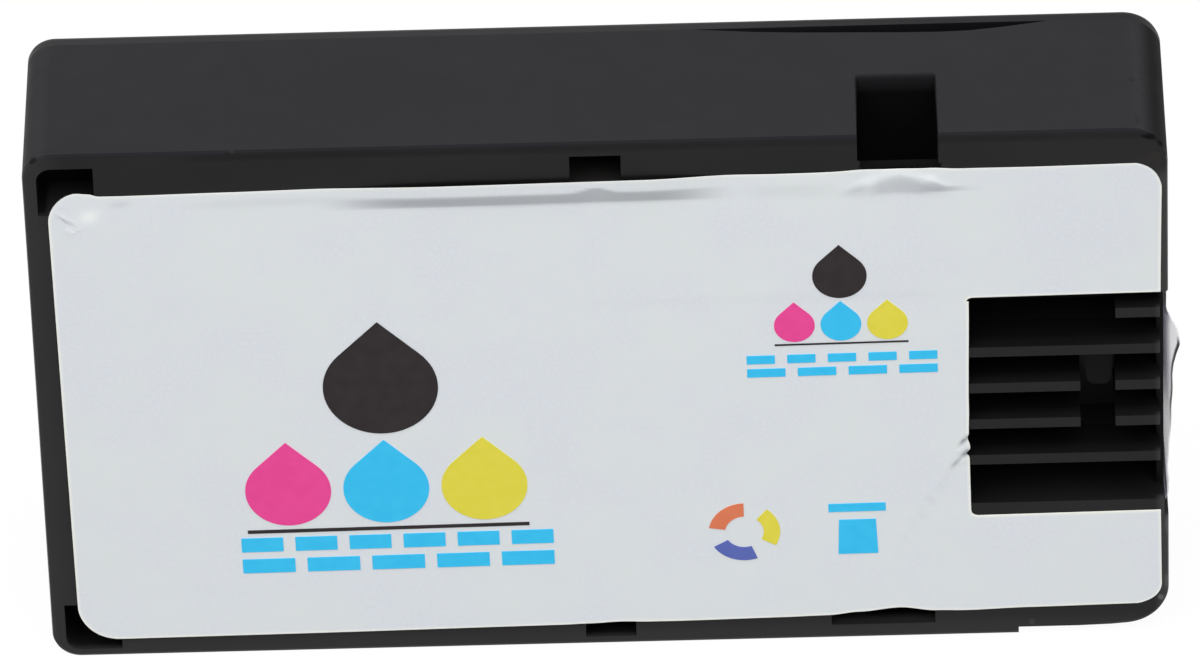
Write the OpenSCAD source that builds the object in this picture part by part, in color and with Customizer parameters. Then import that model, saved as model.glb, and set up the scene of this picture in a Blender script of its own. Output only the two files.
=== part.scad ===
// Ink cartridge for a desktop printer, standing on its long narrow foot.
// A moulded black tray holds the ink and is closed by a welded back cover. Its label
// side carries a paper label, a latch slot and a ribbed bay, and its right end the ports.
// Inside place(), x runs from the blank end to the port end, y from the label side to
// the back cover, and z up from the foot. All sizes are millimetres.

/* [Case] */
// Length from the blank end to the port end
case_l = 110; // [104:1:125]
// Thickness from the label side to the back
case_t = 20; // [19:0.5:26]
// Height from the foot to the top face
case_h = 61; // [60:1:72]
// Corner radius of the blank end, seen from the label side
blank_end_r = 2.8; // [2.4:0.1:4.5]
// Corner radius at the top of the port end
port_top_r = 3.8; // [2.4:0.1:4.5]
// Corner radius at the foot of the port end
port_foot_r = 4.5; // [2.4:0.1:5]
// Softening of the outer edges
edge_soft = 0.4; // [0.2:0.05:0.6]
// Thickness of the top, foot and end walls
wall = 2.2; // [2:0.1:2.6]
// Thickness of the wall behind the label
front_wall = 1.2; // [0.9:0.1:1.6]
// Thickness of the inner walls round pockets and between chambers
inner_wall = 1.2; // [0.8:0.1:1.4]
// Height by which the foot is raised at the port end
foot_step = 0.9; // [0.4:0.1:1.5]
// Length of the raised part of the foot
foot_step_l = 14.8; // [10:0.2:20]
// Distance from the blank end to the wall between the two chambers
divider_at = 63; // [60:1:72]
// Height of the ink passage under that wall
divider_gap = 3; // [2:0.5:6]

/* [Back cover] */
// Thickness of the cover plate
cover_t = 1.6; // [1.3:0.1:1.8]
// Rounding of the cover's outer edge
cover_soft = 0.7; // [0.4:0.05:1]
// Width of the seat that the chamber film is welded to
seat_w = 1; // [0.7:0.1:1.2]
// Depth of that seat below the end of the walls
seat_d = 1.2; // [1:0.1:1.8]
// Width of the locating ridge inside the cover
ridge_w = 0.8; // [0.5:0.1:0.9]
// Gap between the locating ridge and the lip round it
ridge_gap = 0.1; // [0.05:0.05:0.2]
// Thickness of the chamber film
chamber_film_t = 0.12; // [0.08:0.02:0.2]
// Length of the shallow pry opening in the seam along the top
pry_l = 34.5; // [20:0.5:40]
// Width of the pry opening where it is widest
pry_w = 1.4; // [0.6:0.1:1.6]
// Depth of the pry opening
pry_d = 1; // [0.5:0.1:1.1]
// Distance from the port end to the pry opening
pry_from_port = 11; // [8:1:20]
// Diameter of the moulding gate's dimple on the cover
gate_d = 4; // [3:0.5:6]
// Depth of that dimple
gate_dimple = 0.25; // [0.15:0.05:0.4]
// Diameter of the broken-off gate inside the dimple
gate_nub_d = 1.4; // [1:0.1:2]
// Height of the broken-off gate
gate_nub_h = 0.15; // [0.05:0.05:0.2]

/* [Latch slot] */
// Width of the slot where it opens on the label side
slot_w = 7.8; // [5:0.2:10]
// Narrowing of the slot from the label side to its back wall
slot_flare = 0.35; // [0:0.05:0.6]
// Distance from the port end to the middle of the slot
slot_from_port = 25.9; // [24:0.5:36]
// Reach of the slot from the label side towards the back
slot_reach = 9; // [6:0.5:12]
// Depth of the slot below the top face
slot_d = 14; // [8:1:16]
// Depth to which the wall behind the label is cut down in the slot
slot_lip = 3.7; // [2:0.1:5]
// Rounding of the slot's back edge
slot_round = 1.3; // [0.5:0.1:1.5]

/* [Ribbed bay] */
// Length of the bay along the case
bay_l = 18.6; // [17:0.2:20]
// Height of the bay
bay_h = 25.2; // [24:0.2:27]
// Height of the bay's lower side above the foot
bay_z = 16.4; // [14:0.2:18]
// Depth of the bay from the label side
bay_d = 8; // [6:0.5:8.4]
// Thickness of the end wall beside the bay, before the film land is cut
bay_end_wall = 1.1; // [0.9:0.1:1.8]
// Set-back of that wall's front edge from the label side
bay_wall_set = 2.5; // [1:0.5:4]
// Thickness of each rib
rib_t = 1.17; // [0.8:0.05:1.6]
// Distance from one rib to the next
rib_pitch = 4.37; // [4:0.05:4.6]
// Height of the lowest rib above the bay's lower side
rib_first = 5.2; // [4:0.1:6]
// Set-back of the ribs' front edges from the label side
rib_set = 0.15; // [0:0.05:0.5]
// Length of the short rib at the top
short_rib_l = 4; // [2:0.2:6]
// Width of the channel through the two middle ribs
channel_w = 3.4; // [2:0.1:4.5]
// Distance from the port end to the middle of the channel
channel_from_port = 6.85; // [5:0.1:9]
// Width of the tapered stop at its foot
stop_tip_w = 2.3; // [1:0.1:3]
// Length of the tapered stop below its rib
stop_l = 5.4; // [3:0.1:6]
// Bevel at the corners of the stop's foot
stop_bevel = 0.5; // [0.2:0.1:0.8]
// Lean of the stop's foot toward the port end
stop_lean = 0.2; // [0:0.1:0.3]
// Set-back of the tapered stop from the label side
stop_set = 2.6; // [0.5:0.1:4]
// Thickness of the tapered stop
stop_t = 1.5; // [1:0.1:2.5]

/* [Pockets in the label side] */
// Length and height of the corner pockets
corner_pocket = 5.5; // [4:0.1:6]
// Width of the two middle pockets
mid_pocket_w = 4.95; // [4:0.05:6]
// Height of the two middle pockets
mid_pocket_h = 3.9; // [2:0.1:5]
// Distance from the blank end to the middle pockets' centre
mid_pocket_at = 55.05; // [48:0.5:58]
// Depth of the pockets
pocket_d = 6; // [3:0.5:7]
// Wall left between the pockets and the top face
pocket_top = 1.5; // [1:0.1:1.9]
// Wall left between the pockets and the foot
pocket_foot = 0.95; // [0.8:0.05:1.8]
// Wall left between the pockets and the blank end
pocket_end = 1.35; // [1:0.05:1.8]
// Width of the grip pocket under the label's lower edge
grip_w = 10.2; // [6:0.2:12]
// Height of the grip pocket
grip_h = 3.9; // [2:0.1:5]
// Height of the grip pocket above the foot
grip_z = 1.7; // [1.3:0.1:3]
// Distance from the port end to the middle of the grip pocket
grip_from_port = 28.1; // [24:0.5:36]
// Depth of the grip pocket
grip_d = 5; // [3:0.5:7]

/* [Ports] */
// Distance of both ports from the label side
port_y = 13.5; // [13.4:0.1:13.6]
// Height of the ink outlet above the foot
outlet_z = 22.5; // [21:0.5:24]
// Diameter of the ink outlet's mouth
outlet_d = 6.4; // [5:0.1:6.6]
// Depth of the ink outlet's mouth
outlet_mouth = 5; // [4.2:0.1:6]
// Diameter of the duct behind the mouth
duct_d = 5; // [3.6:0.1:5.2]
// Length of the duct
duct_l = 6; // [4:0.5:8]
// Width of the needle hole through the outlet's collar
needle_d = 3; // [2:0.1:3.4]
// Height of the air port above the foot
air_z = 34; // [32:0.5:36]
// Diameter of the air port's mouth
air_d = 4.4; // [3.6:0.1:5]
// Depth of the air port's mouth
air_mouth = 3.8; // [3:0.1:5]
// Width of the hole through the air port's collar
air_hole_d = 1.8; // [1:0.1:2.4]
// Length of the narrow passage behind the air port
air_passage_l = 4.4; // [3:0.2:6]
// Wall of the tubes round the ports
tube_wall = 0.9; // [0.7:0.05:1]
// Thickness of the collars
collar_t = 1; // [0.6:0.1:1.4]
// Thickness of the rubber seals
seal_t = 2.4; // [1.6:0.1:2.6]
// Thickness of the outlet's steel screen
screen_t = 0.3; // [0.2:0.05:0.5]
// Gap round everything that is pressed into the ports
port_fit = 0.05; // [0.03:0.01:0.1]

/* [Seal film] */
// Depth of the land that the film is stuck to
land_d = 0.4; // [0.2:0.05:0.5]
// Height of the land's lower edge above the foot
land_z = 14.2; // [12:0.2:16]
// Height of the land
land_h = 27.4; // [26:0.2:28.4]
// Width of the land from the label side
land_w = 18.2; // [17.8:0.1:18.4]
// Thickness of the film
film_t = 0.12; // [0.08:0.02:0.2]
// Distance of the film's free edge from the label side
film_y = 2.5; // [1:0.1:4]
// Width of the film
film_w = 15.2; // [15:0.1:15.3]
// Gap between the film and the land's upper and lower edges
film_gap = 0.3; // [0.1:0.05:0.5]
// Lift of the free edge off the land at its highest point
film_lift = 1.5; // [0.6:0.1:2.5]
// Width over which the lift fades out
film_fade = 8.2; // [5:0.2:12]

/* [Chip] */
// Width of the chip board, across the case
chip_w = 12; // [8:0.2:13]
// Height of the chip board
chip_h = 10; // [6:0.2:11]
// Thickness of the chip board
chip_t = 0.6; // [0.4:0.05:0.6]
// Distance from the film's land up to the chip board
chip_above_land = 3.4; // [2.4:0.2:4.4]
// Gap round the chip board
chip_gap = 0.15; // [0.1:0.05:0.3]
// Depth by which the chip board lies below the end face
chip_sunk = 0.15; // [0.1:0.05:0.3]
// Width of one contact
contact_w = 1.5; // [1:0.1:2]
// Height of one contact
contact_h = 2.9; // [2:0.1:3.5]
// Distance between contacts across the case
contact_pitch = 2.6; // [2.2:0.1:3]
// Distance between the two rows of contacts
contact_row = 4.2; // [3.8:0.1:4.6]
// Thickness of a contact
contact_t = 0.06; // [0.04:0.01:0.08]
// Diameter of the resin cap over the memory
memory_d = 4; // [3:0.1:5]
// Height of the resin cap
memory_h = 0.5; // [0.3:0.05:0.6]

/* [Filling and venting] */
// Diameter of the filling hole in the blank end
fill_d = 4.6; // [3:0.1:5]
// Diameter of the plug's head
fill_head_d = 6; // [5.4:0.1:7]
// Thickness of the plug's head
fill_head_t = 0.8; // [0.5:0.1:1]
// Length of the plug's shank
fill_l = 4.6; // [3:0.2:6]
// Distance from the top face to the filling hole
fill_from_top = 15; // [14:1:24]
// Gap round the plug
fill_fit = 0.05; // [0.03:0.01:0.1]
// Diameter of the vent filter
vent_d = 5.8; // [4:0.2:7]
// Thickness of the vent filter
vent_t = 0.3; // [0.2:0.05:0.4]
// Diameter of the vent hole
vent_hole_d = 1.2; // [0.8:0.1:2]
// Distance from the top face to the vent hole
vent_from_top = 13; // [11:1:18]
// Width of the groove from the vent to the upper pocket
vent_groove_w = 0.8; // [0.5:0.1:1.5]
// Depth of the vent's recess and groove
vent_recess = 0.4; // [0.4:0.05:0.6]
// Gap round the vent filter
vent_gap = 0.1; // [0.05:0.05:0.2]
// Gap between the ink sponge and the walls
foam_gap = 0.2; // [0.1:0.05:0.4]

/* [Label] */
// Width of the label
label_w = 106.7; // [100:0.1:108]
// Height of the label
label_h = 53.9; // [48:0.1:55]
// Distance from the port end to the label's right edge
label_right = 0.8; // [0.5:0.1:2]
// Height of the label's centre above the foot
label_z = 29.7; // [29:0.1:31]
// Turn of the label on the case, in degrees
label_tilt = 0.5; // [0:0.1:1]
// Thickness of the label
label_t = 0.12; // [0.08:0.02:0.2]
// Rounding of the label's upper left corner
label_top_r = 3; // [1:0.1:5]
// Rounding of the label's lower left corner
label_foot_r = 4; // [1:0.1:6]
// Width of the cut corners at the right
label_cut_w = 2.5; // [1:0.1:4]
// Height of the cut corners at the right
label_cut_h = 3; // [1:0.1:5]
// Length of the label's cut-out over the bay, up to the right edge
window_l = 18.7; // [15:0.1:20]
// Height of that cut-out
window_h = 26.4; // [22:0.1:28]
// Height of the cut-out's lower side above the label's lower edge
window_z = 12.1; // [10:0.1:14]
// Rounding of the cut-out's inner corners
window_r = 1; // [0.4:0.1:2]

/* [Print] */
// Thickness of the printed ink
ink_t = 0.05; // [0.03:0.01:0.08]
// Distance from the label's left edge to the large motif
motif_x = 31; // [25:0.5:36]
// Height of the large motif's centre above the label's lower edge
motif_z = 25.6; // [25:0.2:28]
// Radius of the large drop
drop_r = 5.6; // [3:0.1:6.5]
// Radius of the three drops below it
small_drop_r = 4.2; // [2:0.1:4.8]
// Distance between those three drops
drop_pitch = 9.6; // [9:0.1:11]
// Space between the three drops' tips and the large drop
drop_space = 0.8; // [0.4:0.1:2]
// Space between the three drops and the rule below them
rule_space = 0.5; // [0.3:0.1:0.8]
// Thickness of that rule
rule_h = 0.4; // [0.2:0.1:0.5]
// Size of the small motif as a share of the large one
small_motif = 0.47; // [0.3:0.01:0.6]
// Distance from the label's left edge to the small motif
small_motif_x = 75.9; // [65:0.5:80]
// Height of the small motif's centre above the label's lower edge
small_motif_z = 39.6; // [38:0.5:42]
// Distance from the label's left edge to the middle of the large dashed lines
dash_x = 31.8; // [28:0.2:34]
// Length of the large dashed lines
dash_line_l = 30.6; // [20:0.2:34]
// Height of a large dash
dash_h = 1.7; // [1:0.1:2.2]
// Distance between the two large dashed lines
dash_pitch = 2.6; // [2.4:0.1:3.4]
// Gap between dashes
dash_gap = 1.2; // [0.6:0.1:2]
// Height of the large lower line above the label's lower edge
dash_z = 7.6; // [6:0.1:7.8]
// Length of the small dashed lines
small_dash_line_l = 18.5; // [12:0.5:20]
// Height of a small dash
small_dash_h = 1; // [0.6:0.1:1.2]
// Distance between the two small dashed lines
small_dash_pitch = 1.6; // [1.4:0.1:1.8]
// Height of the small lower line above the label's lower edge
small_dash_z = 29.7; // [29:0.1:30]
// Outer diameter of the three-part ring
ring_d = 7; // [4:0.1:8]
// Width of the ring's band
ring_band = 1.6; // [0.8:0.1:2]
// Distance from the label's left edge to the ring
ring_x = 65.8; // [58:0.5:68]
// Height of the ring and the beaker above the label's lower edge
mark_z = 10.8; // [8:0.1:12]
// Distance from the label's left edge to the beaker
beaker_x = 76.9; // [73:0.5:80]
// Width of the beaker's rim
beaker_w = 5.6; // [3:0.1:7]
// Height of the beaker
beaker_h = 6.2; // [3:0.1:7]

/* [Hidden] */
$fn = 64;

// Places worked out from the sizes above
case_back = case_t - cover_t;
film_seat_y = case_back - seat_d;
lip_w = wall - seat_w;
step_x = case_l - foot_step_l;
land_x = case_l - land_d;
film_out = film_lift + film_t - land_d;
bay_x1 = case_l - bay_end_wall;
bay_x0 = bay_x1 - bay_l;
bay_z1 = bay_z + bay_h;
channel_x = case_l - channel_from_port;
slot_x = case_l - slot_from_port;
chip_x = case_l - chip_sunk - chip_t;
chip_z = land_z + land_h + chip_above_land + chip_h/2;
fill_z = case_h - fill_from_top;
vent_z = case_h - vent_from_top;
label_x = case_l - label_right - label_w/2;
label_left = -label_w/2;
label_bottom = -label_h/2;
// Thinnest slice of the hulls that soften the outer edges
sliver = edge_soft/50;

// How far walls run into one another, so that they fuse
bury = 0.3;
// Overshoot of cutting shapes past the surface they cut
over = 1;
arc_steps = 16;

// Each pocket in the label side as [left, bottom, width, height, depth]
pockets = [
    [pocket_end, case_h - pocket_top - corner_pocket, corner_pocket, corner_pocket, pocket_d],
    [pocket_end, pocket_foot, corner_pocket, corner_pocket, pocket_d],
    [mid_pocket_at - mid_pocket_w/2, case_h - pocket_top - mid_pocket_h,
     mid_pocket_w, mid_pocket_h, pocket_d],
    [mid_pocket_at - mid_pocket_w/2, pocket_foot, mid_pocket_w, mid_pocket_h, pocket_d],
    [case_l - grip_from_port - grip_w/2, grip_z, grip_w, grip_h, grip_d]];

function arc(centre, r, from, steps = arc_steps) =
    [for (i = [0:steps]) centre + r*[cos(from + 90*i/steps), sin(from + 90*i/steps)]];

function reverse(points) = [for (i = [len(points) - 1:-1:0]) points[i]];

// Side view of the case, drawn in by inset
function outline(inset) = concat(
    arc([case_l - port_foot_r, foot_step + port_foot_r], port_foot_r - inset, -90),
    arc([case_l - port_top_r, case_h - port_top_r], port_top_r - inset, 0),
    arc([blank_end_r, case_h - blank_end_r], max(blank_end_r - inset, 0.2), 90),
    arc([blank_end_r, blank_end_r], max(blank_end_r - inset, 0.2), 180),
    [[step_x, inset]]);

// Puts the middle of the whole part's footprint at the origin
module place() {
    translate([-(case_l + film_out)/2, (label_t + ink_t - case_t)/2, 0]) children();
}

// Stands a flat shape in the x-z plane up as a prism from y0 to y1
module upright(y0, y1) {
    translate([0, y1, 0]) rotate([90, 0, 0]) linear_extrude(y1 - y0) children();
}

// Lays a round piece along x, from x0 to x1
module along_x(x0, x1, r, y, z) {
    translate([x0, y, z]) rotate([0, 90, 0]) cylinder(h = x1 - x0, r = r);
}

// Box given by its lowest and highest corners
module block(low, high) {
    translate(low) cube(high - low);
}

module foot_relief() {
    block([step_x, -over, -over], [case_l + over, case_t + over, foot_step]);
}

// How far an edge of radius r is drawn in, part of the way round its quarter turn
function drawn_in(r, share) = r*(1 - sin(90*share));

function risen(r, share) = r*(1 - cos(90*share));

// Solid case form: soft all round its label side, square where the cover meets it
module case_form() {
    difference() {
        hull() {
            upright(0, sliver) polygon(outline(edge_soft));
            upright(risen(edge_soft, 0.5), risen(edge_soft, 0.5) + sliver)
                polygon(outline(drawn_in(edge_soft, 0.5)));
            upright(edge_soft, case_back) polygon(outline(0));
        }
        foot_relief();
    }
}

// Everything inside the outer skin, to trim walls that run into the shell
module inner_space() {
    upright(front_wall/2, film_seat_y) polygon(outline(wall/2));
}

module chamber() {
    upright(front_wall, film_seat_y) polygon(outline(wall));
    upright(film_seat_y, case_back + over) polygon(outline(lip_w));
}

module pocket_walls(grow) {
    for (p = pockets)
        block([p[0] - grow, front_wall/2, p[1] - grow],
              [p[0] + p[2] + grow, p[4] + grow, p[1] + p[3] + grow]);
}

module slot_walls() {
    half = slot_w/2 + inner_wall;
    block([slot_x - half, front_wall/2, case_h - slot_d - inner_wall],
          [slot_x + half, slot_reach + inner_wall, case_h]);
}

module bay_walls() {
    block([bay_x0 - inner_wall, front_wall/2, bay_z - inner_wall],
          [case_l, bay_d + inner_wall, bay_z1 + inner_wall]);
}

module divider() {
    block([divider_at, front_wall/2, wall + divider_gap],
          [divider_at + inner_wall, film_seat_y, case_h]);
}

// Tube round a port, on a web that ties it to the bay's back wall
module port_tube(bore_d, length, z) {
    r = bore_d/2 + tube_wall;
    along_x(case_l - length, case_l - wall/2, r, port_y, z);
    block([case_l - length, bay_d + inner_wall - bury, z - tube_wall/2],
          [case_l - wall/2, port_y - r + tube_wall/2, z + tube_wall/2]);
}

module fill_boss() {
    along_x(wall/2, fill_head_t + fill_l + bury, fill_d/2 + inner_wall, case_t/2, fill_z);
}

module inner_walls() {
    pocket_walls(inner_wall);
    slot_walls();
    bay_walls();
    divider();
    port_tube(outlet_d, land_d + outlet_mouth + duct_l + tube_wall, outlet_z);
    port_tube(air_d, land_d + air_mouth + air_passage_l, air_z);
    fill_boss();
}

// Square pocket whose corner at the origin is rounded
module corner_shape(size, r) {
    translate([r, r]) circle(r);
    translate([r, 0]) square([size - r, size]);
    translate([0, r]) square([size, size - r]);
}

module pocket_cuts() {
    r = blank_end_r - pocket_end;
    top = pockets[0];
    foot = pockets[1];
    upright(-over, top[4]) translate([top[0], top[1] + top[3]]) mirror([0, 1])
        corner_shape(corner_pocket, r);
    upright(-over, foot[4]) translate([foot[0], foot[1]]) corner_shape(corner_pocket, r);
    for (i = [2:4]) {
        p = pockets[i];
        block([p[0], -over, p[1]], [p[0] + p[2], p[4], p[1] + p[3]]);
    }
}

// Slot for the printer's latch: open at the top, and at the label side above its lip
module latch_slot() {
    front = slot_w/2;
    back = (slot_w - slot_flare)/2;
    translate([slot_x, 0, case_h - slot_d]) linear_extrude(slot_d + over)
        polygon([[-front, front_wall], [front, front_wall], [back, slot_reach], [-back, slot_reach]]);
    block([slot_x - front, -over, case_h - slot_lip], [slot_x + front, front_wall + bury, case_h + over]);
    translate([slot_x - back, slot_reach, case_h - slot_round]) rotate([90, 0, 90])
        linear_extrude(2*back) difference() {
            translate([-bury, 0]) square([slot_round + bury, slot_round + over]);
            translate([slot_round, 0]) circle(slot_round);
        }
}

module bay_cut() {
    block([bay_x0, -over, bay_z], [bay_x1, bay_d, bay_z1]);
    block([bay_x1 - bury, -over, bay_z], [case_l + over, bay_wall_set, bay_z1]);
}

function rib_z(k) = bay_z + rib_first + k*rib_pitch;

module rib(x0, x1, k) {
    block([x0, rib_set, rib_z(k) - rib_t/2], [x1, bay_d + bury, rib_z(k) + rib_t/2]);
}

// Five level ribs: two are whole, two are crossed by the channel, and the top one is short
module bay_ribs() {
    left = bay_x0 - bury;
    right = bay_x1 + bury;
    for (k = [0, 3]) rib(left, right, k);
    for (k = [1, 2]) {
        rib(left, channel_x - channel_w/2, k);
        rib(channel_x + channel_w/2, right, k);
    }
    rib(bay_x1 - short_rib_l, right, 4);
    root = channel_w/2;
    top = rib_z(3);
    tip = top - rib_t/2 - stop_l;
    left_tip = channel_x + stop_lean - stop_tip_w/2;
    right_tip = channel_x + stop_lean + stop_tip_w/2;
    upright(stop_set, stop_set + stop_t)
        polygon([[channel_x - root, top], [left_tip, tip + stop_bevel], [left_tip + stop_bevel, tip],
                 [right_tip - stop_bevel, tip], [right_tip, tip + stop_bevel], [channel_x + root, top]]);
}

module port_bores() {
    mouth_end = land_x - outlet_mouth;
    along_x(mouth_end, case_l + over, outlet_d/2, port_y, outlet_z);
    along_x(mouth_end - duct_l, mouth_end + bury, duct_d/2, port_y, outlet_z);
    along_x(mouth_end - duct_l - over, mouth_end, needle_d/2, port_y, outlet_z);
    air_end = land_x - air_mouth;
    along_x(air_end, case_l + over, air_d/2, port_y, air_z);
    along_x(air_end - air_passage_l - over, air_end + bury, air_hole_d/2, port_y, air_z);
}

module film_land() {
    block([land_x, -over, land_z], [case_l + over, land_w, land_z + land_h]);
}

// Sunk seat for the chip board, with a deeper round hollow for its memory
module chip_seat() {
    half_w = chip_w/2 + chip_gap;
    half_h = chip_h/2 + chip_gap;
    block([chip_x, case_t/2 - half_w, chip_z - half_h],
          [case_l + over, case_t/2 + half_w, chip_z + half_h]);
    along_x(chip_x - memory_h - chip_gap, chip_x + bury, memory_d/2 + chip_gap, case_t/2, chip_z);
}

module fill_hole() {
    along_x(-over, fill_head_t, fill_head_d/2 + fill_fit, case_t/2, fill_z);
    along_x(0, fill_head_t + fill_l + over, fill_d/2, case_t/2, fill_z);
}

// Vent hole under the label, with a groove up to the open pocket at the label's edge
module vent_way() {
    translate([mid_pocket_at, 0, vent_z]) rotate([90, 0, 0]) {
        translate([0, 0, -vent_recess]) cylinder(h = vent_recess + over, d = vent_d + 2*vent_gap);
        translate([0, 0, -front_wall - over]) cylinder(h = front_wall + 2*over, d = vent_hole_d);
    }
    block([mid_pocket_at - vent_groove_w/2, -over, vent_z],
          [mid_pocket_at + vent_groove_w/2, vent_recess, pockets[2][1] + bury]);
}

// Width of the pry opening as [share of its length from the port end, share of its width]
pry_curve = [[0, 0], [0.06, 0.3], [0.14, 0.66], [0.22, 0.92], [0.3, 1], [0.4, 0.96], [0.55, 0.82],
             [0.7, 0.68], [0.82, 0.48], [0.92, 0.22], [1, 0]];

// Shallow opening in the seam along the top, where the cover can be pried
module pry_opening() {
    translate([case_l - pry_from_port, case_back, case_h - pry_d]) linear_extrude(pry_d + over)
        polygon(concat([[0, over], [0, 0]], [for (p = pry_curve) [-p[0]*pry_l, -p[1]*pry_w]],
                       [[-pry_l, over]]));
}

// The moulded tray: outer shell, inner walls, port tubes, bay and pockets in one piece
module case_shell() {
    color([0.2, 0.2, 0.21]) place() {
        difference() {
            union() {
                difference() {
                    case_form();
                    chamber();
                }
                intersection() {
                    inner_space();
                    inner_walls();
                }
            }
            pocket_cuts();
            latch_slot();
            bay_cut();
            film_land();
            port_bores();
            chip_seat();
            fill_hole();
            vent_way();
            pry_opening();
        }
        bay_ribs();
    }
}

// Flat cover welded to the tray's open back, located by a ridge inside the lip
module back_cover() {
    ridge_out = lip_w + ridge_gap;
    ridge_y = film_seat_y + chamber_film_t + ridge_gap;
    color([0.23, 0.23, 0.24]) place() {
        difference() {
            hull() {
                upright(case_back, case_t - cover_soft) polygon(outline(0));
                for (share = [0, 1/3, 2/3]) let (y = case_t - risen(cover_soft, share))
                    upright(y - sliver, y) polygon(outline(drawn_in(cover_soft, share)));
            }
            foot_relief();
            translate([case_l/2, case_t + over, case_h/2]) rotate([90, 0, 0])
                cylinder(h = gate_dimple + over, d = gate_d);
        }
        translate([case_l/2, case_t - gate_dimple + gate_nub_h, case_h/2]) rotate([90, 0, 0])
            cylinder(h = gate_nub_h + bury, d = gate_nub_d);
        difference() {
            upright(ridge_y, case_back + bury) polygon(outline(ridge_out));
            upright(ridge_y - over, case_back + over) polygon(outline(ridge_out + ridge_w));
        }
    }
}

// Clear film welded over the tray, which seals the ink in behind the cover
module chamber_film() {
    color([0.85, 0.88, 0.9, 0.6]) place()
        upright(film_seat_y, film_seat_y + chamber_film_t) polygon(outline(lip_w + ridge_gap));
}

// Ink sponge that fills the blank end, cut out round the pockets and the filling boss
module foam_block() {
    color([0.2, 0.2, 0.22]) place() difference() {
        intersection() {
            upright(front_wall + foam_gap, film_seat_y - foam_gap) polygon(outline(wall + foam_gap));
            block([0, 0, 0], [divider_at - foam_gap, case_t, case_h]);
        }
        pocket_walls(inner_wall + foam_gap);
        along_x(0, fill_head_t + fill_l + bury + foam_gap,
                fill_d/2 + inner_wall + foam_gap, case_t/2, fill_z);
    }
}

module vent_filter() {
    color([0.95, 0.95, 0.94]) place()
        translate([mid_pocket_at, vent_recess, vent_z]) rotate([90, 0, 0])
            cylinder(h = vent_t, d = vent_d);
}

module fill_plug() {
    color([0.15, 0.15, 0.16]) place() {
        along_x(fill_fit, fill_head_t, fill_head_d/2 - fill_fit, case_t/2, fill_z);
        along_x(fill_fit, fill_head_t + fill_l, fill_d/2 - fill_fit, case_t/2, fill_z);
    }
}

// Felt wick that draws ink into the outlet
module outlet_wick() {
    color([0.9, 0.9, 0.86]) place()
        along_x(land_x - outlet_mouth - duct_l, land_x - outlet_mouth - screen_t,
                duct_d/2 - port_fit, port_y, outlet_z);
}

module outlet_screen() {
    color([0.7, 0.7, 0.72]) place()
        along_x(land_x - outlet_mouth - screen_t, land_x - outlet_mouth,
                duct_d/2 - port_fit, port_y, outlet_z);
}

// Rubber seal that the printer's needle pierces, with a funnel towards the needle
module needle_seal(x0, mouth_d, hole_d, z) {
    depth = seal_t/2;
    translate([x0, port_y, z]) rotate([0, 90, 0]) rotate_extrude()
        polygon([[0, 0], [mouth_d/2 - port_fit, 0], [mouth_d/2 - port_fit, seal_t],
                 [hole_d/2, seal_t], [0, seal_t - depth]]);
}

// Ring welded into a port's mouth to hold its seal
module collar(x0, mouth_d, hole_d, z) {
    translate([x0, port_y, z]) rotate([0, 90, 0]) rotate_extrude()
        translate([hole_d/2, 0]) square([(mouth_d - hole_d)/2 - port_fit, collar_t]);
}

module outlet_seal() {
    color([0.25, 0.25, 0.26]) place()
        needle_seal(land_x - outlet_mouth, outlet_d, needle_d, outlet_z);
}

module outlet_collar() {
    color([0.22, 0.22, 0.23]) place()
        collar(land_x - outlet_mouth + seal_t, outlet_d, needle_d, outlet_z);
}

module air_seal() {
    color([0.25, 0.25, 0.26]) place()
        needle_seal(land_x - air_mouth, air_d, air_hole_d, air_z);
}

module air_collar() {
    color([0.22, 0.22, 0.23]) place()
        collar(land_x - air_mouth + seal_t, air_d, air_hole_d, air_z);
}

module chip_board() {
    color([0.1, 0.35, 0.2]) place()
        block([chip_x, case_t/2 - chip_w/2, chip_z - chip_h/2],
              [chip_x + chip_t, case_t/2 + chip_w/2, chip_z + chip_h/2]);
}

// Two rows of gold-plated contacts on the board's face
module chip_contacts() {
    color([0.85, 0.68, 0.3]) place()
        for (row = [-1, 1], col = [-1.5:1:1.5])
            translate([chip_x + chip_t, case_t/2 + col*contact_pitch, chip_z + row*contact_row/2])
                translate([0, -contact_w/2, -contact_h/2]) cube([contact_t, contact_w, contact_h]);
}

// Resin cap over the memory, on the board's back
module chip_memory() {
    color([0.08, 0.08, 0.08]) place()
        translate([chip_x, case_t/2, chip_z]) rotate([0, -90, 0]) rotate_extrude()
            polygon([[0, 0], [memory_d/2, 0], [memory_d/2 - memory_h, memory_h], [0, memory_h]]);
}

// Lift of the film's free edge as [share of its height, share of the full lift]
film_curve = [[0, 0], [0.08, 0.12], [0.18, 0.08], [0.25, 0.13], [0.44, 0.41],
              [0.62, 0.69], [0.71, 1], [0.77, 0.8], [0.85, 0], [1, 0]];
film_rows = 24;
film_cols = 8;
film_h = land_h - 2*film_gap;

function film_rise(u, v) =
    film_lift*lookup(v, film_curve)*pow(max(0, 1 - u*film_w/film_fade), 1.2);

function film_point(i, j, t) = let (u = j/film_cols, v = i/film_rows)
    [land_x + t + film_rise(u, v), film_y + u*film_w, land_z + film_gap + v*film_h];

function cell(i, j, side) = (side*(film_rows + 1) + i)*(film_cols + 1) + j;

function quad(a, b, c, d) = [[a, b, c], [a, c, d]];

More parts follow.
